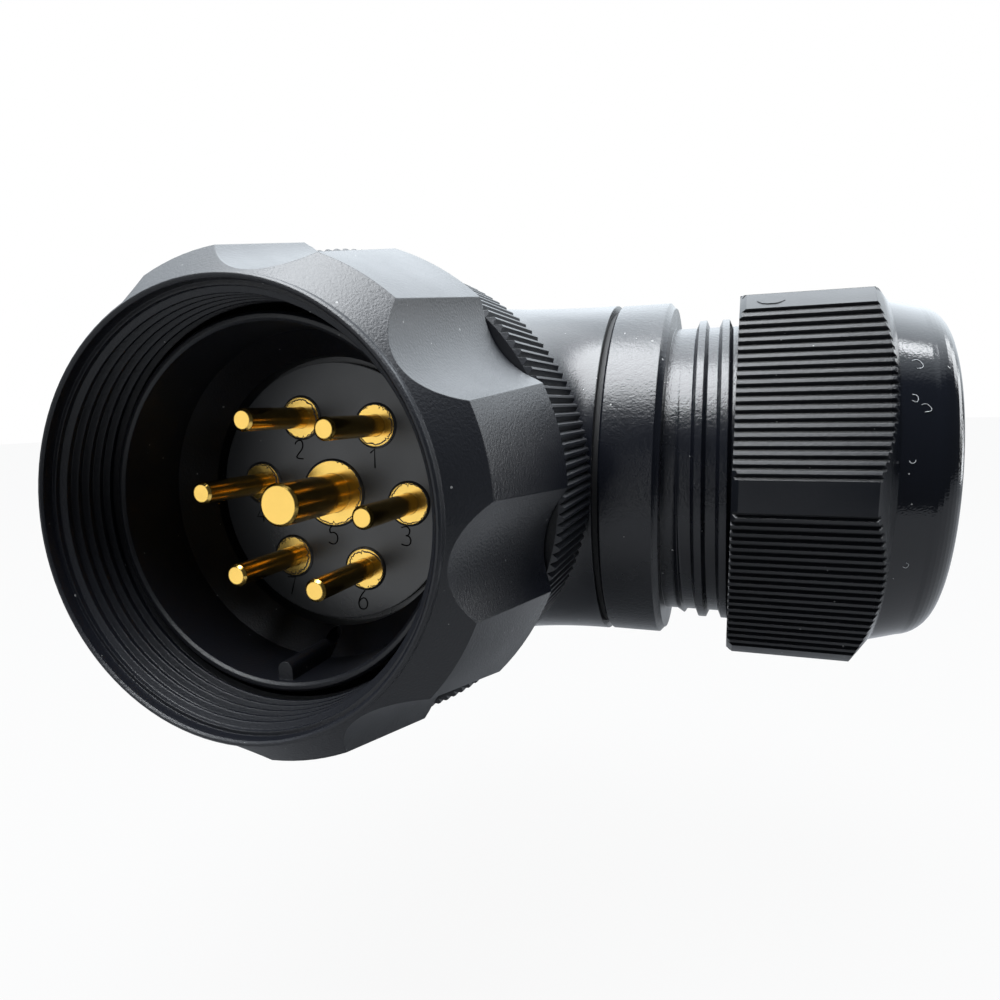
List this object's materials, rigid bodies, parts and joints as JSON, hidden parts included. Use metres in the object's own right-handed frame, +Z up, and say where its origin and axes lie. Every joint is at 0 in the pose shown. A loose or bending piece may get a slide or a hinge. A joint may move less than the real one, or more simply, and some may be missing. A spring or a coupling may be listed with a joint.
{
  "type": "right-angle circular connector plug",
  "caption": "Right-angle circular cable plug with keyed male contacts, a scalloped screw coupling ring, a knurled union nut, an elbow housing and a ribbed cable gland nut.",
  "frame": {"origin": "centre of the coupling ring's mouth, on the mating axis", "axes": "-Y out of the mouth along the mating axis, +X towards the cable end, +Z up"},
  "size_m": [0.0462, 0.0428, 0.0272],
  "materials": {
    "shell_black": "satin black moulding with a fine grain",
    "insert_black": "dull black moulding with numbers moulded beside the contacts",
    "contact_gold": "turned and gold plated",
    "seal_rubber": "matt black rubber",
    "spring_steel": "bright spring steel",
    "ring_black": "satin black moulding with a fine grain",
    "elbow_black": "half-gloss black moulding with a slight ripple",
    "gland_black": "satin black moulding with a grained, shiny thread",
    "pressure_grey": "dark grey moulding",
    "nut_black": "black moulding, ribs half gloss and dome polished"
  },
  "bodies": {
    "plug": {"plug_shell": "shell_black", "contact_insert": "insert_black", "insert_nut": "insert_black", "contact_1": "contact_gold", "contact_2": "contact_gold", "contact_3": "contact_gold", "contact_4": "contact_gold", "contact_5": "contact_gold", "contact_6": "contact_gold", "contact_7": "contact_gold", "face_seal": "seal_rubber", "snap_ring": "spring_steel", "union_nut": "ring_black", "union_clip": "spring_steel", "nose_seal": "seal_rubber", "elbow_housing": "elbow_black", "elbow_gasket": "seal_rubber", "gland_body": "gland_black", "cable_seal": "seal_rubber"},
    "coupling": {"coupling_ring": "ring_black"},
    "pressure": {"pressure_ring": "pressure_grey"},
    "gland": {"gland_nut": "nut_black"}
  },
  "joints": [
    {"name": "coupling_ring_turn", "type": "hinge", "parent": "plug", "child": "coupling", "pos_m": [0, 0.006, 0], "axis": [0, -1, 0], "continuous": true},
    {"name": "pressure_ring_slide", "type": "slide", "parent": "plug", "child": "pressure", "axis": [1, 0, 0], "range_m": [-0.00282, 0.00282]},
    {"name": "gland_nut_turn", "type": "hinge", "parent": "pressure", "child": "gland", "pos_m": [0.026, 0.03029, 0], "axis": [1, 0, 0], "range_deg": [-720, 720]}
  ],
  "couplings": [
    {"joint": "pressure_ring_slide", "follows": "gland_nut_turn", "m_per_rad": 0.00022457}
  ]
}
